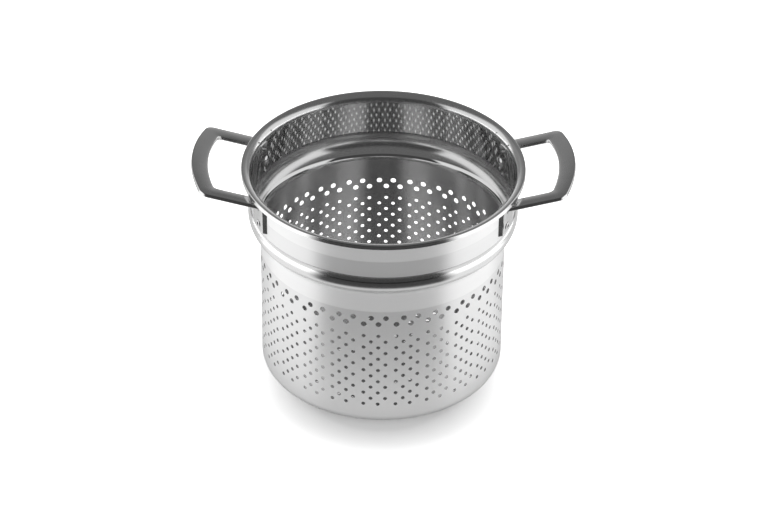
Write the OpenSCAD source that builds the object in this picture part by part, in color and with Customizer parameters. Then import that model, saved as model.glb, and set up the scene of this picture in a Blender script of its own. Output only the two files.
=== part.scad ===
// Strainer insert for a deep round cooking pot, in stainless steel.
// One drawn and perforated shell hangs in the pot by its shoulder. Two cast
// loop handles stand on the collar under the lip, each held by two rivets.
// The origin is the centre of the base, +Z is up, and the handles lie on +X and -X.

/* [Shell] */
// Thickness of the drawn sheet
sheet = 0.8; // [0.6:0.1:1.2]
// Outer diameter of the perforated body, which goes down into the pot
body_d = 224; // [218:1:230]
// Distance by which the collar, which the handles stand on, is wider than the body all round
collar_step = 8; // [7:0.1:9]
// Height of the crown of the lip above the base
total_h = 208.2; // [202:0.2:225]
// Outer radius of the corner between the base and the wall
base_corner_r = 9; // [6:0.5:12]

/* [Shoulder] */
// Distance by which the shoulder, which hangs on the rim of the pot, stands out past the body
shoulder_step = 10.9; // [9.5:0.1:13]
// Depth under the crown of the lip at which the body turns out into the shoulder
shoulder_drop = 63; // [60:0.2:66]
// Radius of the hollow under the shoulder
shoulder_hollow_r = 2; // [1.5:0.5:3]
// Radius of the underside, from the hollow out to the largest diameter
shoulder_r = 17; // [15:0.5:20]
// Radius of the bulge from there up to the crease at the collar
bulge_r = 8.7; // [6:0.1:12]

/* [Lip] */
// Radius at which the collar flares out, on the side that is seen
flare_r = 8.1; // [5:0.1:10]
// Radius of the bend from the crown down to the outer edge
hem_r = 1.2; // [1:0.1:2]
// Depth of the outer edge under the crown
hem_depth = 4.2; // [3:0.1:5]

/* [Wall perforation] */
// Number of groups of holes around the wall
group_count = 24; // [18:1:24]
// Columns of holes in each group
group_columns = 4; // [2:1:4]
// Distance between neighbouring columns, along the wall
column_pitch = 6.6; // [6:0.1:7]
// Angle from the front of the shell to the middle of a group, in degrees
group_turn = -3.2; // [-8:0.1:8]
// Diameter of the small holes
small_hole_d = 3.4; // [2.6:0.1:4]
// Height of the lowest small holes above the base
small_first_z = 22.5; // [18:0.5:26]
// Rise from one row of small holes to the next, which is in the other columns
small_row_rise = 6.35; // [5.8:0.05:6.6]
// Rows of small holes in a group
small_rows = 13; // [9:1:13]
// Diameter of the large holes above the small ones
large_hole_d = 5; // [4.4:0.1:5.4]
// Gap in height between the top small holes and the lower large holes
large_gap = 13.1; // [11:0.1:15]
// Rise from the lower to the upper large holes
large_rise = 6.7; // [6:0.1:7.5]

/* [Base perforation] */
// Number of rings of holes in the base
base_rings = 7; // [4:1:7]
// Distance from one ring to the next
base_ring_pitch = 13; // [11:0.5:14]
// Diameter of the holes in the base
base_hole_d = 3.4; // [2.6:0.1:4]

/* [Handles] */
// Width of an arm
arm_w = 13; // [11:0.5:15]
// Width of the grip
grip_w = 15.4; // [13:0.1:18]
// Thickness of arms and grip, at the middle of their crowned top
strap_t = 4.8; // [3.5:0.1:5.5]
// Fall of the crowned top from its middle to its edges
strap_crown = 0.5; // [0.2:0.1:0.8]
// Radius of the crisp outer edge
outer_edge_r = 0.8; // [0.5:0.1:1]
// Radius of the inner edge, which the fingers hold
inner_edge_r = 1.8; // [1:0.1:2]
// Radius of the edges underneath
under_edge_r = 1.6; // [1:0.1:2]
// Distance between the middles of the two arms of a handle
arm_span = 98; // [90:1:104]
// Overall length of the part over both handles
overall_l = 346.6; // [336:0.2:356]
// Radius of the bow that the outer edge of the grip follows
grip_bow_r = 136; // [110:1:170]
// Radius of the outer corners between grip and arms
outer_corner_r = 9; // [6:0.5:12]
// Radius of the inner corners
inner_corner_r = 5; // [3:0.5:8]
// Angle at which the handle rises outwards, in degrees
handle_rise = 15; // [10:0.5:18]
// Depth of the arm's top under the crown of the lip, at the collar
arm_drop = 8.5; // [8:0.1:11]

/* [Feet] */
// Thickness of the foot that lies against the collar
foot_t = 2.9; // [2.4:0.1:4]
// Depth of the foot's lower edge under the crown of the lip
foot_low_drop = 34.7; // [33.2:0.1:36.2]
// Depth of the foot's upper edge under the crown of the lip
foot_drop = 2.6; // [2:0.1:4]
// Distance from the middle plane to the outer end of the foot, on the collar
foot_reach = 61.6; // [59:0.1:64]
// Distance from the middle plane to the inner side of the foot
foot_inset = 41; // [38:0.5:42]
// Angle at which the foot's outer end slopes down to the collar, in degrees
foot_slope = 58; // [30:1:65]
// Radius of the foot's lower corners
foot_corner_r = 3; // [1:0.5:4]
// Radius of the hollow fillet under the arm
arm_fillet_r = 6; // [4:0.5:9]
// Radius of the hollow fillet above the arm
arm_top_fillet_r = 7.5; // [5:0.5:9]
// Gap between the foot and the flare above it
lip_gap = 0.3; // [0.1:0.1:0.6]

/* [Rivets] */
// Diameter of the rivet's shank
rivet_d = 4.8; // [4:0.1:5.6]
// Clearance round the shank in its holes
rivet_clearance = 0.05; // [0:0.01:0.1]
// Depth of the rivets under the crown of the lip
rivet_drop = 29.2; // [27.2:0.1:31.2]
// Distance of the rivets from the middle plane
rivet_y = 51; // [48:0.5:53]
// Diameter of the domed head inside the collar
head_d = 9.6; // [8.4:0.1:11]
// Height of the domed head
head_h = 2.2; // [1.6:0.1:2.8]
// Diameter of the rolled end on the foot
roll_d = 7.8; // [7:0.1:8.6]
// Height of the rolled end
roll_h = 0.9; // [0.6:0.1:1.5]
// Diameter of the hollow in the rolled end
hollow_d = 3.4; // [2.8:0.1:4]
// Depth of that hollow
hollow_depth = 3; // [2:0.1:4]

/* [Hidden] */
// Amount by which a cutting shape passes the surface that it cuts
cut = 1;
// Facets of a full circle in the preview
$fn = 96;

body_r = body_d / 2;
collar_r = body_r + collar_step;

// The shoulder: its underside runs into the hollow, its bulge up to the crease
shoulder_out_r = body_r + shoulder_step;
shoulder_z = total_h - shoulder_drop;
shoulder_turn = acos(1 - shoulder_step / (shoulder_r + shoulder_hollow_r));
bulge_z = shoulder_z + (shoulder_r + shoulder_hollow_r) * sin(shoulder_turn);
bulge_x = shoulder_out_r - bulge_r;

// The lip: the middle of its flare
flare_x = collar_r - sheet + flare_r;
flare_z = total_h - flare_r;

// The wall's holes
column_turn = column_pitch / body_r * 180 / PI;
large_first_z = small_first_z + (small_rows - 1) * small_row_rise + large_gap;

// The handle, in the flat plane of its strap
arm_y = arm_span / 2;
root_x = sqrt(collar_r * collar_r - arm_y * arm_y);
grip_x = under_edge_r + (overall_l / 2 - root_x - under_edge_r
                         - (strap_t - under_edge_r) * sin(handle_rise)) / cos(handle_rise);
bow_x = grip_x - grip_bow_r;
// Turns of the bow at which its outer and inner corners start
outer_turn = asin((arm_y + arm_w / 2 - outer_corner_r) / (grip_bow_r - outer_corner_r));
inner_turn = asin((arm_y - arm_w / 2 - inner_corner_r) / (grip_bow_r - grip_w - inner_corner_r));
arm_top_z = total_h - arm_drop;
foot_r = collar_r + foot_t;
foot_z = total_h - foot_low_drop;
foot_top_z = total_h - foot_drop;
// The height of the arm's top where it meets the foot's face, and its slope along a radius
foot_arm_z = arm_top_z + (sqrt(foot_r * foot_r - arm_y * arm_y) - root_x) * tan(handle_rise);
fillet_slope = tan(handle_rise) * cos(asin(arm_y / foot_r));
// Steps round a corner of the loop and along its grip
corner_steps = 10;
bow_steps = 12;

// The rivets' height, and their direction from the axis
rivet_z = total_h - rivet_drop;
rivet_turn = asin(rivet_y / collar_r);

// Points on an arc about (x, y), from one angle to another
function arc(x, y, r, from, to, steps) =
    [for (i = [0 : steps]) let (a = from + (to - from) * i / steps) [x + r * cos(a), y + r * sin(a)]];

// One face of the shell's section, from the base out to the edge of the lip.
// It lies deep millimetres inside the outer face.
function shell_face(deep) = concat(
    [[0, deep]],
    arc(body_r - base_corner_r, base_corner_r, base_corner_r - deep, -90, 0, 12),
    arc(body_r + shoulder_hollow_r, shoulder_z, shoulder_hollow_r + deep, 180, 180 - shoulder_turn, 6),
    arc(shoulder_out_r - shoulder_r, bulge_z, shoulder_r - deep, -shoulder_turn, 0, 12),
    arc(bulge_x, bulge_z, bulge_r - deep, 4,
        acos((collar_r - deep - bulge_x) / (bulge_r - deep)), 6),
    arc(flare_x, flare_z, flare_r - sheet + deep, 180, 90, 10),
    arc(flare_x, total_h - hem_r, hem_r - sheet + deep, 72, 0, 4),
    [[flare_x + hem_r - sheet + deep, total_h - hem_depth]]);

function reversed(points) = [for (i = [len(points) - 1 : -1 : 0]) points[i]];

// Half of the shell's section
module shell_section() {
    polygon(concat(shell_face(0), reversed(shell_face(sheet))));
}

// One hole through the wall, at an angle about the axis and a height
module wall_hole(turn, z, d) {
    rotate([0, 0, turn])
        translate([body_r - sheet - cut, 0, z])
            rotate([0, 90, 0])
                cylinder(d = d, h = sheet + 2 * cut);
}

// One group of columns: even columns start a row higher than odd ones
module hole_group() {
    for (column = [0 : group_columns - 1]) {
        turn = (column - (group_columns - 1) / 2) * column_turn;
        for (row = [column % 2 : 2 : small_rows - 1])
            wall_hole(turn, small_first_z + row * small_row_rise, small_hole_d);
        wall_hole(turn, large_first_z + (column % 2) * large_rise, large_hole_d);
    }
}

// The rings of holes in the base, six more in each ring than in the last, round a plain middle
module base_holes() {
    for (ring = [1 : base_rings])
        for (i = [0 : 6 * ring - 1])
            rotate([0, 0, i * 60 / ring])
                translate([ring * base_ring_pitch, 0, -cut])
                    cylinder(d = base_hole_d, h = sheet + 2 * cut);
}

// Places what stands along +X, from the axis outwards, on one rivet's line
module on_rivet_line(side, end) {
    rotate([0, 0, side > 0 ? end * rivet_turn : 180 - end * rivet_turn])
        translate([0, 0, rivet_z])
            rotate([0, 90, 0])
                children();
}

module rivet_hole(side, end) {
    on_rivet_line(side, end)
        cylinder(d = rivet_d + 2 * rivet_clearance, h = foot_r + roll_h + cut);
}

module strainer_body() {
    color([0.80, 0.80, 0.79])
        difference() {
            rotate_extrude() shell_section();
            for (group = [0 : group_count - 1])
                rotate([0, 0, 270 + group_turn + group * 360 / group_count])
                    hole_group();
            base_holes();
            for (side = [-1, 1])
                for (end = [-1, 1])
                    rivet_hole(side, end);
        }
}

// The strap's section for a width, counter-clockwise from its outer edge: [place across, height].
// Both are measured from the middle of its crowned top, and + is outwards.
function strap_section(w) =
    let (fall = strap_crown * 4 / (w * w), out = w / 2, inner_x = out - inner_edge_r)
    concat(
        arc(out - outer_edge_r, -strap_crown - outer_edge_r, outer_edge_r, 0, 60, 2),
        [for (i = [-3 : 3]) let (x = -i * out / 5) [x, -fall * x * x]],
        arc(-inner_x, -strap_crown - inner_edge_r, inner_edge_r, 112, 180, 3),
        arc(-out + under_edge_r, -strap_t + under_edge_r, under_edge_r, 190, 270, 3),
        arc(out - under_edge_r, -strap_t + under_edge_r, under_edge_r, 270, 350, 3));

// Places along the loop, from the front arm round to the rear: [outer edge, inner edge] in the flat plane
function loop_edges() =
    let (inner_bow_r = grip_bow_r - grip_w,
         outer_c = grip_bow_r - outer_corner_r, inner_c = inner_bow_r - inner_corner_r,
         tail = [[[-foot_t, arm_y + arm_w / 2], [-foot_t, arm_y - arm_w / 2]]],
         corner = [for (i = [0 : corner_steps])
             let (a = outer_turn + (90 - outer_turn) * i / corner_steps,
                  b = inner_turn + (90 - inner_turn) * i / corner_steps)
             [[bow_x + outer_c * cos(outer_turn) + outer_corner_r * cos(a),
               outer_c * sin(outer_turn) + outer_corner_r * sin(a)],
              [bow_x + inner_c * cos(inner_turn) + inner_corner_r * cos(b),
               inner_c * sin(inner_turn) + inner_corner_r * sin(b)]]],
         bow = [for (i = [1 : bow_steps - 1])
             let (t = 2 * i / bow_steps - 1)
             [[bow_x + grip_bow_r * cos(outer_turn * t), grip_bow_r * sin(outer_turn * t)],
              [bow_x + inner_bow_r * cos(inner_turn * t), inner_bow_r * sin(inner_turn * t)]]],
         rear = concat(corner, tail),
         front = reversed([for (e = rear) [[e[0][0], -e[0][1]], [e[1][0], -e[1][1]]]]))
    concat(front, bow, rear);

// The loop in its flat plane: the strap's section carried along, wider at the grip
module flat_loop() {
    line = loop_edges();
    n = len(strap_section(arm_w));
    last = len(line) - 1;
    points = [for (e = line)
        let (w = norm(e[0] - e[1]), across = (e[0] - e[1]) / w, mid = (e[0] + e[1]) / 2)
        for (s = strap_section(w)) [mid[0] + across[0] * s[0], mid[1] + across[1] * s[0], s[1]]];
    sides = [for (k = [0 : last - 1]) for (i = [0 : n - 1])
        let (j = (i + 1) % n)
        [k * n + i, k * n + j, (k + 1) * n + j, (k + 1) * n + i]];
    ends = [reversed([for (i = [0 : n - 1]) i]), [for (i = [0 : n - 1]) last * n + i]];
    polyhedron(points = points, faces = concat(sides, ends), convexity = 4);
}

// Cuts the rounded lower corners of the foot, seen along the rivet: X is down
module foot_corners(from, to) {
    low = rivet_z - foot_z + cut / 10;
    r = foot_corner_r;
    for (e = [[collar_r * sin(to - rivet_turn), 1], [foot_r * sin(rivet_turn - from), -1]])
        on_rivet_line(1, 1)
            translate([0, 0, collar_r - foot_t])
                linear_extrude(height = foot_t * 4)
                    scale([1, e[1], 1])
                        polygon(concat(arc(low - r, e[0] - r, r, 0, 90, 5),
                                       [[low - r, e[0] + r], [low + r, e[0] + r], [low + r, e[0] - r]]));
}

// The foot against the collar, with an outer end that slopes down to it
module foot() {
    from = asin(foot_inset / foot_r);
    to = asin(foot_reach / collar_r);
    difference() {
        rotate([0, 0, from])
            rotate_extrude(angle = to - from)
                translate([collar_r - cut, foot_z])
                    square([foot_t + cut, foot_top_z - foot_z]);
        rotate([0, 0, to])
            translate([collar_r, 0, foot_z - cut])
                rotate([0, 0, foot_slope])
                    cube([foot_t * 4, foot_t * 4, foot_top_z - foot_z + 2 * cut]);
        foot_corners(from, to);
    }
}

// The hollow fillets between foot and arm, turned about the shell's axis and narrower than the arm
module arm_fillets() {
    under_mid = foot_arm_z - strap_t - arm_fillet_r + arm_fillet_r * fillet_slope;
    over_mid = foot_arm_z - strap_crown + arm_top_fillet_r + arm_top_fillet_r * fillet_slope;
    inner_w = arm_w - 2 * under_edge_r;
    under = concat([[collar_r - cut, foot_arm_z - strap_t / 2], [collar_r - cut, under_mid]],
                   arc(foot_r + arm_fillet_r, under_mid, arm_fillet_r, 180, 90 + handle_rise, 8),
                   [[foot_r + arm_fillet_r, foot_arm_z - strap_t / 2]]);
    over = concat(arc(foot_r + arm_top_fillet_r, over_mid, arm_top_fillet_r, 180, 270, 8),
                  [[foot_r + arm_top_fillet_r, foot_arm_z - strap_t / 2],
                   [collar_r - cut, foot_arm_z - strap_t / 2], [collar_r - cut, over_mid]]);
    intersection() {
        rotate_extrude() {
            polygon(under);
            polygon(over);
        }
        translate([0, arm_y - inner_w / 2, foot_z])
            cube([collar_r + arm_w * 2, inner_w, foot_top_z - foot_z]);
    }
}

// What the collar takes up, and the flare above it with a gap
module shell_envelope() {
    cylinder(r = collar_r, h = total_h);
    rotate_extrude()
        polygon(concat([[collar_r - 2 * cut, flare_z]],
                       arc(flare_x, flare_z, flare_r - sheet - lip_gap, 180, 90, 10),
                       [[flare_x, total_h], [collar_r - 2 * cut, total_h]]));
}

module handle() {
    color([0.62, 0.62, 0.62])
        difference() {
            union() {
                translate([root_x, 0, arm_top_z])
                    rotate([0, -handle_rise, 0])
                        flat_loop();
                for (end = [-1, 1])
                    scale([1, end, 1]) {
                        foot();
                        arm_fillets();
                    }
            }
            shell_envelope();
            for (end = [-1, 1])
                rivet_hole(1, end);
        }
}

module handle_right() {
    handle();
}

module handle_left() {
    mirror([1, 0, 0]) handle();
}

// A rivet: domed head inside the collar, shank, and rolled end on the foot
module rivet(side, end) {
    dome_r = (head_d * head_d / 4 + head_h * head_h) / (2 * head_h);
    seat_x = collar_r - sheet;
    color([0.72, 0.72, 0.71])
        difference() {
            union() {
                intersection() {
                    on_rivet_line(side, end)
                        translate([0, 0, seat_x + dome_r - head_h])
                            sphere(r = dome_r);
                    cylinder(r = seat_x, h = total_h);
                }
                on_rivet_line(side, end)
                    translate([0, 0, seat_x - head_h / 2])
                        cylinder(d = rivet_d, h = foot_r + roll_h / 2 - seat_x + head_h / 2);
                difference() {
                    on_rivet_line(side, end)
                        translate([0, 0, collar_r])
                            cylinder(d = roll_d, h = foot_t + roll_h);
                    cylinder(r = foot_r, h = total_h);
                }
            }
            on_rivet_line(side, end)
                translate([0, 0, foot_r + roll_h - hollow_depth])
                    cylinder(d = hollow_d, h = hollow_depth + cut);
        }
}

module rivet_right_front() { rivet(1, -1); }
module rivet_right_rear() { rivet(1, 1); }
module rivet_left_front() { rivet(-1, -1); }
module rivet_left_rear() { rivet(-1, 1); }

strainer_body();
handle_right();
handle_left();
rivet_right_front();
rivet_right_rear();
rivet_left_front();
rivet_left_rear();
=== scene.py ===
"""Looks of a strainer insert for a deep cooking pot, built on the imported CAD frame.

The shell, the two handles and the four rivets are remade here as smooth meshes, at the
solids' sizes but for the hollow under the shoulder and the outer ends of the feet. The
object's lengths are in millimetres, and its meshes and the studio in metres. Angles are
in degrees. The origin is the centre of the base and +Z is up.
"""
import math

import bmesh
import bpy
import numpy as np
from mathutils import Matrix, Vector
from mathutils.geometry import delaunay_2d_cdt


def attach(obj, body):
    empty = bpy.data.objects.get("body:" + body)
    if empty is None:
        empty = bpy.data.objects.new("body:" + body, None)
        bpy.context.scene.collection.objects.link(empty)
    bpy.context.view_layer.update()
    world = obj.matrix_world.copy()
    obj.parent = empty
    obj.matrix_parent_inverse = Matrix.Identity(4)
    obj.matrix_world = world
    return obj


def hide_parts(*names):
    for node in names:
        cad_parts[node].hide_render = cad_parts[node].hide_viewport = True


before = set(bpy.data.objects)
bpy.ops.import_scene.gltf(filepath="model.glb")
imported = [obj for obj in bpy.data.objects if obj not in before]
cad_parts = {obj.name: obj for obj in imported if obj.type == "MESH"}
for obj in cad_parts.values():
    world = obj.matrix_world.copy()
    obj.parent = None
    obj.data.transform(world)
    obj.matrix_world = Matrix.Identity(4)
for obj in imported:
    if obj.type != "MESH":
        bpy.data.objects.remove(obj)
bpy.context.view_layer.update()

MM = 0.001

# Shell
SHEET = 0.8
BODY_R = 112.0
COLLAR_R = 120.0
TOTAL_H = 208.2
BASE_CORNER_R = 9.0
SHOULDER_OUT_R = 122.9
SHOULDER_Z = 141.74
SHOULDER_HOLLOW_R = 8.0
SHOULDER_R = 17.0
BULGE_R = 8.7
FLARE_R = 8.1
HEM_R = 1.2
HEM_DEPTH = 4.2
# Height at which the finish of the collar changes
COLLAR_BORDER_Z = 185.0

# Holes of the wall
GROUPS = 24
COLUMNS = 4
COLUMN_PITCH = 6.6
GROUP_TURN = -3.2
SMALL_D = 3.4
SMALL_FIRST_Z = 22.5
ROW_RISE = 6.35
ROWS = 13
LARGE_D = 5.0
LARGE_GAP = 13.1
LARGE_RISE = 6.7
HOLE_EDGE = 0.15
# How far the pierced band of the wall reaches past the middles of its lowest and highest holes
BAND_MARGIN = 7.0

# Holes of the base
BASE_RINGS = 7
BASE_PITCH = 13.0
BASE_HOLE_D = 3.4

# Handles
ARM_W = 13.0
GRIP_W = 15.4
STRAP_T = 4.8
STRAP_CROWN = 0.5
CROWN_INSET = 1.2
OUTER_EDGE_R = 0.8
INNER_EDGE_R = 1.8
UNDER_EDGE_R = 1.6
# Centres of the two upper edges, under the edge of the crown, as shares of their radii
OUTER_EDGE_SINK = 0.85
INNER_EDGE_SINK = 0.8
ARM_Y = 49.0
# Places between the corner and the root of an arm, as shares of its length
ARM_SHARES = (0.66, 0.33)
OVERALL_L = 346.6
GRIP_BOW_R = 136.0
OUTER_CORNER_R = 9.0
INNER_CORNER_R = 5.0
HANDLE_RISE = 15.0
ARM_DROP = 8.5
FOOT_T = 2.9
FOOT_Z = 173.5
FOOT_DROP = 2.6
FOOT_REACH = 61.6
FOOT_INSET = 41.0
FOOT_SLOPE = 45.0
FOOT_CORNER_R = 3.0
ARM_FILLET_R = 6.0
TOP_FILLET_R = 7.5
# Angle at which the upper fillet's arc starts, at the foot
TOP_FILLET_FROM = 205.0
# Distance from the foot at which the fillets are as wide as the arm
FILLET_REACH = 3.0
FOOT_EDGE_R = 0.6

# Rivets
RIVET_Y = 51.0
RIVET_Z = 179.0
HEAD_D = 9.6
HEAD_H = 2.2
ROLL_D = 7.8
ROLL_H = 0.9
HOLLOW_D = 3.4
HOLLOW_DEPTH = 3.0
HOLLOW_EDGE_R = 0.5
ROLL_SINK = 0.5

# Steps of the meshes, which make up the curves
TILE_STEPS = 12
AROUND = GROUPS * TILE_STEPS
TILE_LEVELS = 19
SMALL_STEPS = 20
LARGE_STEPS = 26
BASE_STEPS = 18
CORNER_STEPS = 14
HOLLOW_STEPS = 10
BEND_STEPS = 24
BULGE_STEPS = 16
HEM_STEPS = 8
CROWN_STEPS = 6
FOOT_STEPS = 10
FILLET_STEPS = 8
RIVET_STEPS = 28
# Loose points between the holes: their spacing up the wall and their distances from the
# band's edges, their spacing round the base, and the gap that they keep from a hole
LOOSE_RISE = 3.2
LOOSE_LOW, LOOSE_HIGH = 3.0, 2.0
LOOSE_TURN = 10
LOOSE_GAP = 0.8
# Corners are welded in a flat plate within this distance, and in a mesh where they agree
# to so many decimals
WELD = 1e-5
WELD_DECIMALS = 4
# A triangle is taken to lie in a hole when its middle is nearer to the hole's middle than
# this share of the hole's radius
IN_HOLE = 0.98

# Studio panels: (degrees round from the camera's side, degrees above the floor, strength)
PANELS = [
    ((-10, 52), (-9, 46), 0.06),
    ((52, 130), (-9, 10), 1.9),
    ((52, 130), (10, 25), 0.9),
    ((52, 130), (25, 46), 0.85),
    ((130, 157), (-9, 46), 0.25),
    ((157, 190), (-9, 10), 0.8),
    ((157, 190), (10, 25), 0.36),
    ((157, 190), (25, 46), 0.15),
    ((-10, 190), (46, 99), 0.14),
]
PANEL_SOFT = 8.0
# The tent that carries them
TENT_R = 7.5
TENT_STEPS = 48
# Cards on the floor, painted light and shadow for mirrors: a pool of light round the object, and its shadow
# on the dark card nearest the axis: (degrees round, metres from the axis, strength)
POOL = [
    ((-10, 190), (-0.1, 0.12), 0.12),
    ((-10, 190), (0.12, 0.16), 0.63),
    ((-10, 50), (0.16, 0.205), 0.75),
    ((-10, 50), (0.205, 0.9), 0.06),
    ((50, 105), (0.16, 0.34), 0.95),
    ((50, 105), (0.34, 9.0), 1.4),
    ((105, 190), (0.16, 9.0), 0.7),
]
POOL_TURN_SOFT = 14.0
POOL_SOFT = 0.05
POOL_Z = 0.0001
FLOOR_HALF = 5.0
FLOOR_SHADE = 0.9
# What the camera sees of the floor glows, which paints over the lamps' shadow away from the object, less so
# near a point in front of the axis, which paints a shadow there, darkest in front
FLOOR_GLOW = (0.03, 0.95)
FLOOR_GLOW_REACH = (0.070, 0.142)
FLOOR_GLOW_Y = -0.05
# Soft lamp overhead, which lights the floor but isn't mirrored
LAMP_FROM = (0.0, 1.0, 4.9)
LAMP_ACROSS = 1.7
LAMP_POWER = 108.0
# Fill lamp from the camera's side, not mirrored either
FILL_FROM = (0.0, -2.6, 1.2)
FILL_ACROSS = 1.6
FILL_POWER = 42.0
# Card behind the object, mirrored by the tops of the handles
CARD_Y = 0.5
CARD_HALF = 0.13
CARD_TOP = 0.66
CARD_EDGE_Z = 0.545
CARD_SOFT = 0.16
CARD_GLOW = 0.11

# Camera, as fitted to the photograph
CAMERA_FROM = (0.0, -2.267, 1.689)
CAMERA_AIM = (0.0, 0.0, 0.1094)
CAMERA_LENS = 141.2
CAMERA_ROLL = 0.6
CAMERA_SENSOR = 36.0
CAMERA_REACH = 50.0

# Range of the noise over which a steel's roughness runs from its lowest to its highest
NOISE_LOW, NOISE_HIGH = 0.35, 0.65
NOISE_DETAIL = 4.0
NOISE_FALL = 0.6
# Its darkest tint, as a share of the lightest, and the depth of its relief in metres
DARK_TINT = 0.97
RELIEF = 0.0002
# Turn of the anisotropy that smears a reflection up and down
SMEAR_TURN = 0.25


def sin(a):
    return math.sin(math.radians(a))


def cos(a):
    return math.cos(math.radians(a))


def tan(a):
    return math.tan(math.radians(a))


def turn_at(across, r):
    """Degrees round a circle of radius r to the place that lies so far across."""
    return math.degrees(math.asin(across / r))


def about_z(a):
    return np.array([[cos(a), -sin(a), 0], [sin(a), cos(a), 0], [0, 0, 1]])


MIRROR_X = np.diag([-1.0, 1, 1])
MIRROR_Y = np.diag([1.0, -1, 1])


class Skin:
    """Collects faces with a normal for each corner, and welds them into one mesh."""

    def __init__(self):
        self.parts = []

    def add(self, points, normals, material=0):
        """Takes arrays of faces x corners x 3, in millimetres, and turns the faces to their normals."""
        points, normals = np.array(points, float), np.array(normals, float)
        face = np.cross(points[:, 1] - points[:, 0], points[:, 2] - points[:, 0])
        face += np.cross(points[:, 2] - points[:, 0], points[:, -1] - points[:, 0])
        wrong = (face * normals.sum(axis=1)).sum(axis=1) < 0
        points[wrong], normals[wrong] = points[wrong][:, ::-1], normals[wrong][:, ::-1]
        self.parts.append((points, normals, material))

    def moved(self, turn, shift=(0, 0, 0)):
        """Turns or mirrors everything collected so far, then shifts it."""
        parts, self.parts = self.parts, []
        for points, normals, material in parts:
            self.add(points @ turn.T + np.array(shift), normals @ turn.T, material)

    def turned(self, step, count):
        """Repeats everything collected so far about Z."""
        made = []
        for points, normals, material in self.parts:
            for i in range(count):
                turn = about_z(step * i)
                made.append((points @ turn.T, normals @ turn.T, material))
        self.parts = made

    def build(self, name, materials):
        corners = np.concatenate([p.reshape(-1, 3) for p, _, _ in self.parts])
        normals = np.concatenate([n.reshape(-1, 3) for _, n, _ in self.parts])
        sizes = np.concatenate([np.full(len(p), p.shape[1]) for p, _, _ in self.parts])
        slots = np.concatenate([np.full(len(p), m) for p, _, m in self.parts])
        _, first, index = np.unique(np.round(corners, WELD_DECIMALS), axis=0,
                                    return_index=True, return_inverse=True)
        index = index.reshape(-1)
        # Corners that the weld brought together, as at a pole, are left out
        starts = np.concatenate([[0], np.cumsum(sizes)[:-1]])
        following = np.arange(len(index)) + 1
        following[starts + sizes - 1] = starts
        kept = index != index[following]
        sizes = np.add.reduceat(kept.astype(int), starts)
        kept &= np.repeat(sizes > 2, np.diff(np.append(starts, len(index))))
        slots, sizes = slots[sizes > 2], sizes[sizes > 2]
        index, normals = index[kept], normals[kept]
        mesh = bpy.data.meshes.new(name)
        mesh.vertices.add(len(first))
        mesh.vertices.foreach_set("co", (corners[first] * MM).ravel())
        mesh.loops.add(len(index))
        mesh.loops.foreach_set("vertex_index", index)
        mesh.polygons.add(len(sizes))
        mesh.polygons.foreach_set("loop_start", np.concatenate([[0], np.cumsum(sizes)[:-1]]))
        mesh.polygons.foreach_set("material_index", slots)
        mesh.update(calc_edges=True)
        mesh.polygons.foreach_set("use_smooth", np.ones(len(sizes), bool))
        lengths = np.maximum(np.linalg.norm(normals, axis=1, keepdims=True), 1e-9)
        mesh.normals_split_custom_set((normals / lengths).tolist())
        for m in materials:
            mesh.materials.append(m)
        piece = bpy.data.objects.new(name, mesh)
        bpy.context.scene.collection.objects.link(piece)
        return piece


def arc(x, y, r, a, b, steps, side=1):
    """Points on an arc from angle a to b, each with its normal: [x, y, normal x, normal y]."""
    turns = [a + (b - a) * i / steps for i in range(steps + 1)]
    return [[x + r * cos(t), y + r * sin(t), side * cos(t), side * sin(t)] for t in turns]


def quads(grid, normals):
    """Faces between neighbouring rows and columns of a grid of points."""
    def cells(g):
        return np.stack([g[:-1, :-1], g[:-1, 1:], g[1:, 1:], g[1:, :-1]], axis=2).reshape(-1, 4, 3)
    return cells(grid), cells(normals)


def revolve(profile, a, b, steps=AROUND):
    """Turns a profile of [r, z, normal r, normal z] about Z."""
    turns = np.radians(np.linspace(a, b, steps + 1))
    p = np.array(profile, float)
    c, s = np.cos(turns)[:, None], np.sin(turns)[:, None]
    grid = np.stack([p[:, 0] * c, p[:, 0] * s, np.broadcast_to(p[:, 1], (len(turns), len(p)))], axis=2)
    normals = np.stack([p[:, 2] * c, p[:, 2] * s, np.broadcast_to(p[:, 3], (len(turns), len(p)))], axis=2)
    return quads(grid, normals)


# The section's centres, and the pierced band
shoulder_turn = math.degrees(math.acos(1 - (SHOULDER_OUT_R - BODY_R) / (SHOULDER_R + SHOULDER_HOLLOW_R)))
bulge_z = SHOULDER_Z + (SHOULDER_R + SHOULDER_HOLLOW_R) * sin(shoulder_turn)
bulge_x = SHOULDER_OUT_R - BULGE_R
flare_x = COLLAR_R - SHEET + FLARE_R
flare_z = TOTAL_H - FLARE_R
large_first_z = SMALL_FIRST_Z + (ROWS - 1) * ROW_RISE + LARGE_GAP
wall_low = SMALL_FIRST_Z - BAND_MARGIN
wall_high = large_first_z + LARGE_RISE + BAND_MARGIN
# Finishes of the shell: places in its list of materials
BRUSHED, MIRROR, SOFT, MATT, DRAWN = 0, 1, 2, 3, 4


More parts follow.
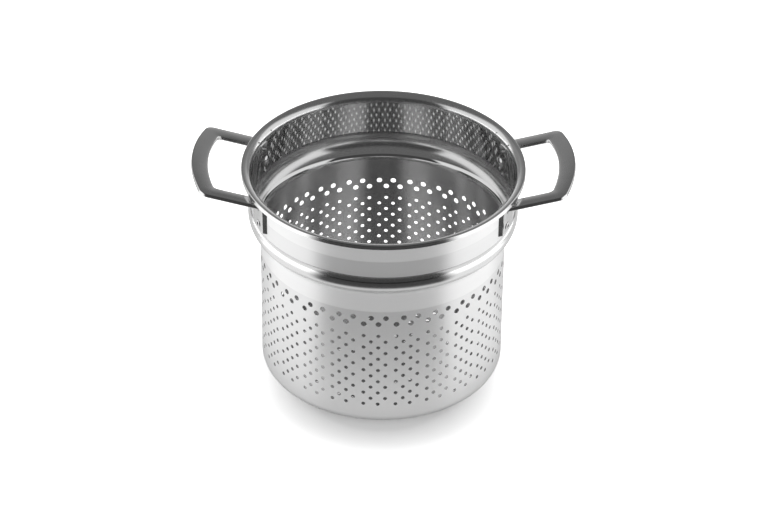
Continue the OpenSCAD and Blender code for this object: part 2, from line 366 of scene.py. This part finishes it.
def face_profiles(deep):
    """Stretches of one face of the shell, deep millimetres inside its outer face: [(material, points)]."""
    outer = deep == 0
    side = 1 if outer else -1
    crease = math.degrees(math.acos((COLLAR_R - deep - bulge_x) / (BULGE_R - deep)))
    wall = BODY_R - deep
    collar = COLLAR_R - deep
    crease_z = bulge_z + (BULGE_R - deep) * sin(crease)
    hem_r = HEM_R - SHEET + deep
    formed = BRUSHED if outer else DRAWN
    plain = MATT if outer else DRAWN
    hollow = MATT if outer else MIRROR
    return [
        (formed, arc(BODY_R - BASE_CORNER_R, BASE_CORNER_R, BASE_CORNER_R - deep,
                     -90, 0, CORNER_STEPS, side)),
        (formed, [[wall, BASE_CORNER_R, side, 0], [wall, wall_low, side, 0]]),
        (plain, [[wall, wall_high, side, 0], [wall, SHOULDER_Z, side, 0]]),
        (hollow, arc(BODY_R + SHOULDER_HOLLOW_R, SHOULDER_Z, SHOULDER_HOLLOW_R + deep,
                     180, 180 - shoulder_turn, HOLLOW_STEPS, -side)),
        (SOFT, arc(SHOULDER_OUT_R - SHOULDER_R, bulge_z, SHOULDER_R - deep,
                   -shoulder_turn, 0, BEND_STEPS, side)),
        (SOFT, arc(bulge_x, bulge_z, BULGE_R - deep, 0, crease, BULGE_STEPS, side)),
        (BRUSHED if outer else MIRROR, [[collar, crease_z, side, 0], [collar, COLLAR_BORDER_Z, side, 0]]),
        (MATT if outer else MIRROR, [[collar, COLLAR_BORDER_Z, side, 0], [collar, flare_z, side, 0]]),
        (SOFT, arc(flare_x, flare_z, FLARE_R - SHEET + deep, 180, 90, BEND_STEPS, -side)),
        (SOFT, arc(flare_x, TOTAL_H - HEM_R, hem_r, 90, 0, HEM_STEPS, -side)),
        (SOFT, [[flare_x + hem_r, TOTAL_H - HEM_R, -side, 0],
                [flare_x + hem_r, TOTAL_H - HEM_DEPTH, -side, 0]]),
    ]


def circle(x, y, r, steps):
    turns = np.radians(np.arange(steps) * 360 / steps)
    return np.stack([x + r * np.cos(turns), y + r * np.sin(turns)], axis=1)


def pierced(border, holes, loose):
    """Triangles of a flat plate with round holes. holes: [(x, y, radius, steps)]."""
    points = [Vector(p) for p in border]
    edges = [(i, (i + 1) % len(border)) for i in range(len(border))]
    for x, y, r, steps in holes:
        start = len(points)
        points += [Vector(p) for p in circle(x, y, r, steps)]
        edges += [(start + i, start + (i + 1) % steps) for i in range(steps)]
    centres = np.array([h[:2] for h in holes])
    radii = np.array([h[2] for h in holes])
    for p in loose:
        if (np.hypot(*(centres - p).T) > radii + LOOSE_GAP).all():
            points.append(Vector(p))
    made = delaunay_2d_cdt(points, edges, [], 0, WELD)
    flat = np.array([v[:] for v in made[0]])
    corners = flat[np.array([f for f in made[2] if len(f) == 3])]
    reach = np.hypot(*(corners.mean(axis=1)[:, None] - centres).transpose(2, 0, 1))
    in_hole = (reach < radii * IN_HOLE).any(axis=1)
    return corners[~in_hole]


def hole_wall(place, normal, x, y, r, steps):
    """The wall of one hole, with its edges rounded over towards both faces of the sheet."""
    rings = [(r + HOLE_EDGE, 0, 1), (r, HOLE_EDGE, 0),
             (r, SHEET - HOLE_EDGE, 0), (r + HOLE_EDGE, SHEET, -1)]
    turns = np.radians(np.arange(steps + 1) * 360 / steps)
    grid, normals = [], []
    for ring, deep, facing in rings:
        flat = np.stack([x + ring * np.cos(turns), y + ring * np.sin(turns)], axis=1)
        inward = np.stack([-np.cos(turns), -np.sin(turns)], axis=1)
        grid.append(place(flat, deep))
        normals.append(normal(flat, inward, facing))
    return quads(np.array(grid), np.array(normals))


def on_wall(flat, deep):
    """Wraps flat points [along, up] round the body, deep under its outer face."""
    turn = flat[..., 0] / BODY_R
    r = BODY_R - deep
    return np.stack([r * np.cos(turn), r * np.sin(turn), flat[..., 1]], axis=-1)


def wall_normal(flat, inward, facing):
    turn = flat[..., 0] / BODY_R
    out = np.stack([np.cos(turn), np.sin(turn), np.zeros_like(turn)], axis=-1)
    if facing:
        return out * facing
    along = np.stack([-np.sin(turn), np.cos(turn), np.zeros_like(turn)], axis=-1)
    return along * inward[:, :1] + np.array([0, 0, 1]) * inward[:, 1:]


def on_base(flat, deep):
    return np.stack([flat[..., 0], flat[..., 1], np.full(flat.shape[:-1], deep)], axis=-1)


def base_normal(flat, inward, facing):
    if facing:
        return np.broadcast_to([0, 0, -facing], flat.shape[:-1] + (3,)).astype(float)
    return np.concatenate([inward, np.zeros((len(inward), 1))], axis=1)


def wall_holes():
    """The holes of one group: [(along, up, radius, steps)]."""
    holes = []
    for column in range(COLUMNS):
        along = (column - (COLUMNS - 1) / 2) * COLUMN_PITCH
        for row in range(column % 2, ROWS, 2):
            holes.append((along, SMALL_FIRST_Z + row * ROW_RISE, SMALL_D / 2, SMALL_STEPS))
        holes.append((along, large_first_z + (column % 2) * LARGE_RISE, LARGE_D / 2, LARGE_STEPS))
    return holes


def base_holes():
    """The holes of the base, in rings: [(x, y, radius, steps)]."""
    holes = []
    for ring in range(1, BASE_RINGS + 1):
        out = ring * BASE_PITCH
        for i in range(6 * ring):
            turn = i * 60 / ring
            holes.append((out * cos(turn), out * sin(turn), BASE_HOLE_D / 2, BASE_STEPS))
    return holes


def widened(holes):
    """The holes with their rounded edges."""
    return [(x, y, r + HOLE_EDGE, steps) for x, y, r, steps in holes]


def add_wall(skin):
    """The pierced band of the wall: one group of holes, repeated round the axis."""
    half = math.pi * BODY_R / GROUPS
    across = np.linspace(-half, half, TILE_STEPS + 1)
    levels = np.linspace(wall_low, wall_high, TILE_LEVELS)
    border = ([(x, wall_low) for x in across[:-1]] + [(half, z) for z in levels[:-1]]
              + [(x, wall_high) for x in across[:0:-1]] + [(-half, z) for z in levels[:0:-1]])
    holes = wall_holes()
    rows = np.arange(wall_low + LOOSE_LOW, wall_high - LOOSE_HIGH, LOOSE_RISE)
    tris = pierced(border, widened(holes), [(x, z) for x in across[1:-1] for z in rows])
    out = wall_normal(tris, None, 1)
    skin.add(on_wall(tris, 0), out, BRUSHED)
    skin.add(on_wall(tris, SHEET), -out, DRAWN)
    for hole in holes:
        skin.add(*hole_wall(on_wall, wall_normal, *hole), SOFT)
    skin.turned(360 / GROUPS, GROUPS)
    skin.moved(about_z(GROUP_TURN - 90))


def add_turned(skin, start):
    """What is turned about the axis: both faces of the sheet, and the edge of the lip."""
    for deep in (0, SHEET):
        for material, profile in face_profiles(deep):
            skin.add(*revolve(profile, start, start + 360), material)
    edge = flare_x + HEM_R
    low = TOTAL_H - HEM_DEPTH
    skin.add(*revolve([[edge, low, 0, -1], [edge - SHEET, low, 0, -1]], start, start + 360), SOFT)


def add_base(skin, start):
    disc_r = BODY_R - BASE_CORNER_R
    turns = [start + i * 360 / AROUND for i in range(AROUND)]
    rings = np.arange(BASE_PITCH / 2, disc_r, BASE_PITCH)
    loose = [(r * cos(a), r * sin(a)) for r in rings for a in np.arange(0, 360, LOOSE_TURN)]
    holes = base_holes()
    tris = pierced([(disc_r * cos(a), disc_r * sin(a)) for a in turns], widened(holes), loose)
    down = np.zeros(tris.shape[:2] + (3,))
    down[..., 2] = -1
    skin.add(on_base(tris, 0), down, BRUSHED)
    skin.add(on_base(tris, SHEET), -down, SOFT)
    for hole in holes:
        skin.add(*hole_wall(on_base, base_normal, *hole), SOFT)


def make_shell(materials):
    skin = Skin()
    start = GROUP_TURN - 90 - 180 / GROUPS
    add_wall(skin)
    add_turned(skin, start)
    add_base(skin, start)
    return skin.build("shell_dressed", materials)


def strap_section(w):
    """Points round the strap for a width, from its outer edge: [across, up, normal across, normal up]."""
    out = w / 2
    fall = STRAP_CROWN * 4 / (w * w)
    top = []
    for i in range(-CROWN_STEPS, CROWN_STEPS + 1):
        x = -i * (out - CROWN_INSET) / CROWN_STEPS
        slope = -2 * fall * x
        top.append([x, -fall * x * x, -slope / math.hypot(slope, 1), 1 / math.hypot(slope, 1)])
    outer_z = -STRAP_CROWN - OUTER_EDGE_R * OUTER_EDGE_SINK
    inner_z = -STRAP_CROWN - INNER_EDGE_R * INNER_EDGE_SINK
    under_z = -STRAP_T + UNDER_EDGE_R
    return (arc(out - OUTER_EDGE_R, outer_z, OUTER_EDGE_R, 0, 78, 5)
            + [p for p in top if -out + INNER_EDGE_R < p[0] < out - OUTER_EDGE_R]
            + arc(-out + INNER_EDGE_R, inner_z, INNER_EDGE_R, 100, 180, 7)
            + arc(-out + UNDER_EDGE_R, under_z, UNDER_EDGE_R, 184, 270, 6)
            + arc(out - UNDER_EDGE_R, under_z, UNDER_EDGE_R, 270, 356, 6))


# Places of the handles and the rivets
root_x = math.sqrt(COLLAR_R ** 2 - ARM_Y ** 2)
grip_x = UNDER_EDGE_R + (OVERALL_L / 2 - root_x - UNDER_EDGE_R
                         - (STRAP_T - UNDER_EDGE_R) * sin(HANDLE_RISE)) / cos(HANDLE_RISE)
bow_x = grip_x - GRIP_BOW_R
arm_top_z = TOTAL_H - ARM_DROP
foot_r = COLLAR_R + FOOT_T
foot_top_z = TOTAL_H - FOOT_DROP
foot_arm_z = arm_top_z + (math.sqrt(foot_r ** 2 - ARM_Y ** 2) - root_x) * tan(HANDLE_RISE)
rivet_turn = turn_at(RIVET_Y, COLLAR_R)


def loop_edges(corner_steps=18, bow_steps=28):
    """Places along the flat loop, from the front arm to the rear one: (outer edge, inner edge)."""
    inner_bow_r = GRIP_BOW_R - GRIP_W
    outer_c, inner_c = GRIP_BOW_R - OUTER_CORNER_R, inner_bow_r - INNER_CORNER_R
    outer_turn = turn_at(ARM_Y + ARM_W / 2 - OUTER_CORNER_R, outer_c)
    inner_turn = turn_at(ARM_Y - ARM_W / 2 - INNER_CORNER_R, inner_c)
    rear = []
    for i in range(corner_steps + 1):
        a = outer_turn + (90 - outer_turn) * i / corner_steps
        b = inner_turn + (90 - inner_turn) * i / corner_steps
        rear.append(((bow_x + outer_c * cos(outer_turn) + OUTER_CORNER_R * cos(a),
                      outer_c * sin(outer_turn) + OUTER_CORNER_R * sin(a)),
                     (bow_x + inner_c * cos(inner_turn) + INNER_CORNER_R * cos(b),
                      inner_c * sin(inner_turn) + INNER_CORNER_R * sin(b))))
    (arm, outer_y), (_, inner_y) = rear[-1]
    for x in [arm * share for share in ARM_SHARES] + [0, -FOOT_T]:
        rear.append(((x, outer_y), (x, inner_y)))
    bow = []
    for i in range(1, bow_steps):
        t = 2 * i / bow_steps - 1
        bow.append(((bow_x + GRIP_BOW_R * cos(outer_turn * t), GRIP_BOW_R * sin(outer_turn * t)),
                    (bow_x + inner_bow_r * cos(inner_turn * t), inner_bow_r * sin(inner_turn * t))))
    front = [((o[0], -o[1]), (i[0], -i[1])) for o, i in rear[::-1]]
    return front + bow + rear


def make_handle(name, side, material):
    """One loop with its feet and fillets; side is 1 for the right handle and -1 for the left one."""
    skin = Skin()
    edges = np.array(loop_edges())
    outer, inner = edges[:, 0], edges[:, 1]
    width = np.linalg.norm(outer - inner, axis=1)
    across = (outer - inner) / width[:, None]
    middle = (outer + inner) / 2
    along = np.gradient(middle, axis=0)
    along /= np.linalg.norm(along, axis=1, keepdims=True)
    grid, normals = [], []
    for k in range(len(edges)):
        s = np.array(strap_section(width[k]))
        grid.append(np.stack([middle[k, 0] + across[k, 0] * s[:, 0], middle[k, 1] + across[k, 1] * s[:, 0],
                              s[:, 1]], axis=1))
        n = np.stack([across[k, 0] * s[:, 2], across[k, 1] * s[:, 2], s[:, 3]], axis=1)
        t = np.array([along[k, 0], along[k, 1], 0])
        normals.append(n - (n @ t)[:, None] * t)
    grid, normals = np.array(grid), np.array(normals)
    grid = np.concatenate([grid, grid[:, :1]], axis=1)
    normals = np.concatenate([normals, normals[:, :1]], axis=1)
    c, s = cos(HANDLE_RISE), sin(HANDLE_RISE)
    rise = np.array([[c, 0, -s], [0, 1, 0], [s, 0, c]])
    grid = grid @ rise.T + np.array([root_x, 0, arm_top_z])
    normals = normals @ rise.T
    skin.add(*quads(grid, normals))
    for end in (-1, 1):
        add_foot(skin, end)
    if side < 0:
        skin.moved(MIRROR_X)
    return skin.build(name, [material])


def upright(r, turn):
    """Points of the foot's height, one under another, at a radius and a turn."""
    levels = (foot_top_z, FOOT_Z + FOOT_CORNER_R, FOOT_Z)
    return np.array([[r * cos(turn), r * sin(turn), z] for z in levels])


def flat_side(first, second, normal):
    return quads(np.array([first, second]), np.broadcast_to(normal, (2, len(first), 3)))


def foot_block():
    """The foot's face and lower edge, its outer end, which slopes to the collar, and its inner side."""
    start = turn_at(FOOT_INSET, foot_r)
    stop = turn_at(FOOT_REACH, COLLAR_R)
    face_stop = stop - math.degrees(FOOT_T * tan(FOOT_SLOPE) / COLLAR_R)
    edge_z = FOOT_Z + FOOT_EDGE_R
    rim = ([[foot_r, foot_top_z, 1, 0], [foot_r, edge_z, 1, 0]]
           + arc(foot_r - FOOT_EDGE_R, edge_z, FOOT_EDGE_R, 0, -90, 4)[1:]
           + [[COLLAR_R, FOOT_Z, 0, -1]])
    near, far = upright(foot_r, face_stop), upright(COLLAR_R, stop)
    end_normal = np.cross(far[0] - near[0], [0, 0, -1.0])
    return [revolve(rim, start, face_stop, FOOT_STEPS),
            flat_side(near, far, end_normal),
            flat_side(upright(COLLAR_R, start), upright(foot_r, start), [sin(start), -cos(start), 0])]


def arm_fillets():
    """The hollow fillets between the arm and the foot, under and above."""
    slope = tan(HANDLE_RISE) * cos(turn_at(ARM_Y, foot_r))
    under_mid = foot_arm_z - STRAP_T - ARM_FILLET_R + ARM_FILLET_R * slope
    over_mid = foot_arm_z - STRAP_CROWN + TOP_FILLET_R + TOP_FILLET_R * slope
    half = ARM_W / 2 - UNDER_EDGE_R
    start = turn_at(ARM_Y - half, foot_r + FILLET_REACH)
    stop = turn_at(ARM_Y + half, foot_r + FILLET_REACH)
    under = arc(foot_r + ARM_FILLET_R, under_mid, ARM_FILLET_R, 180, 90 + HANDLE_RISE, FOOT_STEPS, -1)
    over = arc(foot_r + TOP_FILLET_R, over_mid, TOP_FILLET_R, TOP_FILLET_FROM, 270, FOOT_STEPS, -1)
    return [revolve(profile, start, stop, FILLET_STEPS) for profile in (under, over)]


def add_foot(skin, end):
    """One foot with its fillets; end is -1 in front and 1 behind."""
    for points, normals in foot_block() + arm_fillets():
        if end < 0:
            points, normals = points @ MIRROR_Y, normals @ MIRROR_Y
        skin.add(points, normals)


def make_rivet(name, side, end, materials):
    """Domed head inside the collar and rolled, hollow end on the foot."""
    skin = Skin()
    seat = COLLAR_R - SHEET
    dome_r = (HEAD_D ** 2 / 4 + HEAD_H ** 2) / (2 * HEAD_H)
    dome = arc(0, seat + dome_r - HEAD_H, dome_r, -90, -90 + turn_at(HEAD_D / 2, dome_r), 8)
    roll_r, hollow_r = ROLL_D / 2, HOLLOW_D / 2
    top = foot_r + ROLL_H
    edge_z = top - HOLLOW_EDGE_R
    floor_z = top - HOLLOW_DEPTH
    roll = ([[roll_r, foot_r - ROLL_SINK, 1, 0]]
            + arc(roll_r - ROLL_H, top - ROLL_H, ROLL_H, 0, 90, 5)
            + arc(hollow_r + HOLLOW_EDGE_R, edge_z, HOLLOW_EDGE_R, 90, 180, 4))
    bore = [[hollow_r, edge_z, -1, 0], [hollow_r, floor_z, -1, 0]]
    floor = [[hollow_r, floor_z, 0, 1], [0.0, floor_z, 0, 1]]
    for profile in (dome, roll):
        skin.add(*revolve(profile, 0, 360, RIVET_STEPS))
    # The bore and its floor take the second material, whose near-black grey is painted shade in the hollow
    for profile in (bore, floor):
        skin.add(*revolve(profile, 0, 360, RIVET_STEPS), 1)
    outwards = np.array([[0, 0, 1], [0, 1, 0], [-1, 0, 0]], float)
    skin.moved(about_z(rivet_turn * end) @ outwards, (0, 0, RIVET_Z))
    if side < 0:
        skin.moved(MIRROR_X)
    return skin.build(name, materials)


def grey(shade):
    return (shade, shade, shade, 1)


def node_at(tree, kind, **inputs):
    """A new node with values on its sockets, whose names have _ for a space here."""
    node = tree.nodes.new(kind)
    for key, value in inputs.items():
        node.inputs[key.replace("_", " ")].default_value = value
    return node


def steel(name, shade, rough, grain, across=(1.0, 1.0, 1.0), bump=0.0, drawn=0.0, metal=1.0):
    """Stainless steel whose roughness wanders between two values along its grinding marks.

    shade is its grey and grain the scale of the marks, which across stretches or squeezes.
    drawn is the anisotropy: steel ground while it turns smears a reflection up and down.
    metal is below 1 for a blasted surface, which scatters part of the light all round.
    """
    material = bpy.data.materials.new(name)
    material.use_nodes = True
    tree = material.node_tree
    shader = tree.nodes["Principled BSDF"]
    shader.inputs["Metallic"].default_value = metal
    shader.inputs["Anisotropic"].default_value = drawn
    if drawn:
        shader.inputs["Anisotropic Rotation"].default_value = SMEAR_TURN
        ground = tree.nodes.new("ShaderNodeTangent")
        ground.direction_type = "RADIAL"
        ground.axis = "Z"
        tree.links.new(ground.outputs["Tangent"], shader.inputs["Tangent"])
    place = tree.nodes.new("ShaderNodeTexCoord")
    mapping = node_at(tree, "ShaderNodeMapping", Scale=across)
    noise = node_at(tree, "ShaderNodeTexNoise", Scale=grain, Detail=NOISE_DETAIL, Roughness=NOISE_FALL)
    tree.links.new(place.outputs["Object"], mapping.inputs["Vector"])
    tree.links.new(mapping.outputs["Vector"], noise.inputs["Vector"])
    ramp = node_at(tree, "ShaderNodeMapRange", From_Min=NOISE_LOW, From_Max=NOISE_HIGH,
                   To_Min=rough[0], To_Max=rough[1])
    tree.links.new(noise.outputs["Fac"], ramp.inputs["Value"])
    tree.links.new(ramp.outputs["Result"], shader.inputs["Roughness"])
    tint = node_at(tree, "ShaderNodeMix")
    tint.data_type = "RGBA"
    tint.inputs["A"].default_value = grey(shade * DARK_TINT)
    tint.inputs["B"].default_value = grey(shade)
    tree.links.new(noise.outputs["Fac"], tint.inputs["Factor"])
    tree.links.new(tint.outputs["Result"], shader.inputs["Base Color"])
    if bump:
        relief = node_at(tree, "ShaderNodeBump", Strength=bump, Distance=RELIEF)
        tree.links.new(noise.outputs["Fac"], relief.inputs["Height"])
        tree.links.new(relief.outputs["Normal"], shader.inputs["Normal"])
    return material


def make_pieces():
    """The shell, and each handle with its two rivets."""
    wall_marks = {"grain": 60.0, "across": (1, 1, 14), "bump": 0.04, "drawn": 0.8}
    brushed = steel("brushed_steel", 0.87, (0.38, 0.44), metal=0.55, **wall_marks)
    mirror = steel("mirror_steel", 0.80, (0.035, 0.045), grain=40.0)
    soft = steel("soft_steel", 0.80, (0.17, 0.21), grain=60.0, across=(1, 1, 8), drawn=0.5)
    matt = steel("matt_steel", 0.97, (0.44, 0.50), metal=0.45, **wall_marks)
    drawn = steel("drawn_steel", 0.84, (0.15, 0.17), grain=60.0, across=(1, 1, 8), drawn=0.9)
    handle_steel = steel("handle_steel", 0.72, (0.14, 0.20), grain=90.0)
    rivet_steel = steel("rivet_steel", 0.76, (0.10, 0.15), grain=120.0)
    # Near-black grey of the rivets' bores: painted shade in their hollows, far darker than the steel itself
    bore_painted_shade = steel("bore_painted_shade", 0.16, (0.40, 0.50), grain=120.0)

    shell = make_shell([brushed, mirror, soft, matt, drawn])
    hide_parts("strainer_body")
    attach(shell, "root")
    for side, place in ((1, "right"), (-1, "left")):
        handle = make_handle("handle_%s_dressed" % place, side, handle_steel)
        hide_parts("handle_%s" % place)
        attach(handle, "root")
        for end, where in ((-1, "front"), (1, "rear")):
            rivet = make_rivet("rivet_%s_%s_dressed" % (place, where), side, end, [rivet_steel, bore_painted_shade])
            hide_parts("rivet_%s_%s" % (place, where))
            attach(rivet, "root")


def math_node(tree, operation, *values, clamp=False):
    """A math node on numbers or sockets."""
    node = tree.nodes.new("ShaderNodeMath")
    node.operation = operation
    node.use_clamp = clamp
    for socket, value in zip(node.inputs, values):
        if isinstance(value, (int, float)):
            socket.default_value = value
        else:
            tree.links.new(value, socket)
    return node.outputs[0]


def rising(tree, value, edge, soft):
    """0 under an edge and 1 over it, with a soft step of the given width."""
    step = node_at(tree, "ShaderNodeMapRange", From_Min=edge - soft / 2, From_Max=edge + soft / 2)
    step.interpolation_type = "SMOOTHSTEP"
    tree.links.new(value, step.inputs["Value"])
    return step.outputs["Result"]


def window(tree, value, low, high, soft):
    """1 between two edges and 0 outside them."""
    over = rising(tree, value, low, soft)
    past = rising(tree, value, high, soft)
    return math_node(tree, "SUBTRACT", over, past)


def polar(tree, vector):
    """Degrees round from the camera's side, degrees up, and distance from the axis."""
    split = tree.nodes.new("ShaderNodeSeparateXYZ")
    tree.links.new(vector, split.inputs[0])
    x, y, z = split.outputs
    back = math_node(tree, "MULTIPLY", y, -1.0)
    turn = math_node(tree, "ABSOLUTE", math_node(tree, "ARCTAN2", x, back))
    away = math_node(tree, "SQRT", math_node(tree, "ADD", math_node(tree, "MULTIPLY", x, x),
                                             math_node(tree, "MULTIPLY", y, y)))
    up = math_node(tree, "ARCTAN2", z, away)
    return (math_node(tree, "DEGREES", turn), math_node(tree, "DEGREES", up), away)


def total(tree, parts):
    result = parts[0]
    for part in parts[1:]:
        result = math_node(tree, "ADD", result, part)
    return result


def on_white(tree):
    """1 for the rays that see the white surround: the camera's, and those a mirror or glass sends on."""
    rays = tree.nodes.new("ShaderNodeLightPath").outputs
    sent_on = math_node(tree, "ADD", rays["Is Glossy Ray"], rays["Is Transmission Ray"])
    return math_node(tree, "ADD", rays["Is Camera Ray"], sent_on, clamp=True)


def stage_piece(name, mesh, shader_of):
    """A stage object whose material is made by shader_of(tree)."""
    material = bpy.data.materials.new(name)
    material.use_nodes = True
    tree = material.node_tree
    tree.nodes.remove(tree.nodes["Principled BSDF"])
    tree.links.new(shader_of(tree), tree.nodes["Material Output"].inputs["Surface"])
    mesh.materials.append(material)
    piece = bpy.data.objects.new(name, mesh)
    bpy.context.scene.collection.objects.link(piece)
    return piece


def sheet(name, corners):
    mesh = bpy.data.meshes.new(name)
    mesh.from_pydata(corners, [], [(0, 1, 2, 3)])
    return mesh


def level_sheet(name, z):
    h = FLOOR_HALF
    return sheet(name, [(-h, -h, z), (h, -h, z), (h, h, z), (-h, h, z)])


def glow(tree, strength):
    light = node_at(tree, "ShaderNodeEmission", Color=grey(1))
    tree.links.new(strength, light.inputs["Strength"])
    return light.outputs[0]


def position(tree):
    return tree.nodes.new("ShaderNodeNewGeometry").outputs["Position"]


def add_shaders(tree, first, second):
    both = tree.nodes.new("ShaderNodeAddShader")
    tree.links.new(first, both.inputs[0])
    tree.links.new(second, both.inputs[1])
    return both.outputs[0]


def floor_shader(tree):
    """Pale and matt, with a glow that paints over the lamps' shadow away from the object and is dim near
    it, a painted shadow on top of the real one.
    """
    from_painted_shadow = tree.nodes.new("ShaderNodeVectorMath")
    from_painted_shadow.operation = "DISTANCE"
    tree.links.new(position(tree), from_painted_shadow.inputs[0])
    from_painted_shadow.inputs[1].default_value = (0, FLOOR_GLOW_Y, 0)
    near, far = FLOOR_GLOW_REACH
    dim, bright = FLOOR_GLOW
    brighter = node_at(tree, "ShaderNodeMapRange", From_Min=near, From_Max=far, To_Min=dim, To_Max=bright)
    tree.links.new(from_painted_shadow.outputs["Value"], brighter.inputs["Value"])
    pale = node_at(tree, "ShaderNodeBsdfDiffuse", Color=grey(FLOOR_SHADE))
    seen = math_node(tree, "MULTIPLY", brighter.outputs["Result"], on_white(tree))
    return add_shaders(tree, pale.outputs[0], glow(tree, seen))


def zones(tree, table, turn, other, other_soft, turn_soft):
    """Sum of soft zones: each a range of degrees round, a range of the other measure, and a strength."""
    lit = []
    for around, reach, strength in table:
        zone = math_node(tree, "MULTIPLY", window(tree, turn, *around, turn_soft),
                         window(tree, other, *reach, other_soft))
        lit.append(math_node(tree, "MULTIPLY", zone, strength))
    return total(tree, lit)


def pool_shader(tree):
    """Light and dark cards lying on the floor, glowing upwards only: a painted pool of light round the
    object, and its painted shadow nearest the axis.
    """
    turn, _, away = polar(tree, position(tree))
    lit = glow(tree, zones(tree, POOL, turn, away, POOL_SOFT, POOL_TURN_SOFT))
    sides = tree.nodes.new("ShaderNodeNewGeometry")
    one_way = tree.nodes.new("ShaderNodeMixShader")
    tree.links.new(sides.outputs["Backfacing"], one_way.inputs["Fac"])
    tree.links.new(lit, one_way.inputs[1])
    tree.links.new(tree.nodes.new("ShaderNodeBsdfTransparent").outputs[0], one_way.inputs[2])
    return one_way.outputs[0]


def tent_shader(tree):
    turn, up, _ = polar(tree, position(tree))
    return glow(tree, zones(tree, PANELS, turn, up, PANEL_SOFT, PANEL_SOFT))


def card_shader(tree):
    """Clear, with a faint glow that fades out at a soft edge."""
    split = tree.nodes.new("ShaderNodeSeparateXYZ")
    tree.links.new(position(tree), split.inputs[0])
    over = rising(tree, split.outputs["Z"], CARD_EDGE_Z, CARD_SOFT)
    lit = glow(tree, math_node(tree, "MULTIPLY", math_node(tree, "SUBTRACT", 1.0, over), CARD_GLOW))
    return add_shaders(tree, lit, tree.nodes.new("ShaderNodeBsdfTransparent").outputs[0])


def make_stage():
    """The floor, and the cards and tent of the studio, which the camera doesn't see; the cards on the floor
    paint light and shadow for mirrors.
    """
    stage_piece("floor", level_sheet("floor", 0), floor_shader)
    pool = stage_piece("floor_painted_light_and_shadow", level_sheet("floor_painted_light_and_shadow", POOL_Z), pool_shader)
    dome = bmesh.new()
    bmesh.ops.create_uvsphere(dome, u_segments=TENT_STEPS, v_segments=TENT_STEPS // 2, radius=TENT_R)
    shape = bpy.data.meshes.new("tent")
    dome.to_mesh(shape)
    dome.free()
    tent = stage_piece("tent", shape, tent_shader)
    corners = [(x, CARD_Y, z) for x, z in ((-CARD_HALF, 0), (CARD_HALF, 0),
                                           (CARD_HALF, CARD_TOP), (-CARD_HALF, CARD_TOP))]
    card = stage_piece("card", sheet("card", corners), card_shader)
    for piece in (pool, tent, card):
        piece.visible_camera = False
    for piece in (pool, card):
        piece.visible_shadow = False
    card.visible_diffuse = False


def make_world():
    """White to the camera, to mirrors and to glass; the tent and the lamps give the light."""
    world = bpy.data.worlds.new("studio")
    bpy.context.scene.world = world
    world.use_nodes = True
    tree = world.node_tree
    tree.nodes["Background"].inputs["Color"].default_value = grey(1)
    tree.links.new(on_white(tree), tree.nodes["Background"].inputs["Strength"])


def make_lamp(name, place, across, power):
    """A round soft lamp aimed at the object, which no mirror shows."""
    data = bpy.data.lights.new(name, "AREA")
    data.shape = "DISK"
    data.size = across
    data.energy = power
    lamp = bpy.data.objects.new(name, data)
    bpy.context.scene.collection.objects.link(lamp)
    lamp.location = place
    lamp.rotation_euler = (-Vector(place)).to_track_quat("-Z", "Y").to_euler()
    lamp.visible_camera = False
    lamp.visible_glossy = False


def make_camera():
    data = bpy.data.cameras.new("camera")
    data.lens = CAMERA_LENS
    data.sensor_width = CAMERA_SENSOR
    data.clip_end = CAMERA_REACH
    camera = bpy.data.objects.new("camera", data)
    bpy.context.scene.collection.objects.link(camera)
    camera.location = CAMERA_FROM
    look = (Vector(CAMERA_AIM) - Vector(CAMERA_FROM)).to_track_quat("-Z", "Y").to_matrix()
    roll = Matrix.Rotation(math.radians(CAMERA_ROLL), 3, "Z")
    camera.rotation_euler = (look @ roll).to_euler()
    bpy.context.scene.camera = camera


make_pieces()
make_stage()
make_world()
make_lamp("overhead", LAMP_FROM, LAMP_ACROSS, LAMP_POWER)
make_lamp("fill", FILL_FROM, FILL_ACROSS, FILL_POWER)
make_camera()
bpy.context.scene.view_settings.view_transform = "Standard"
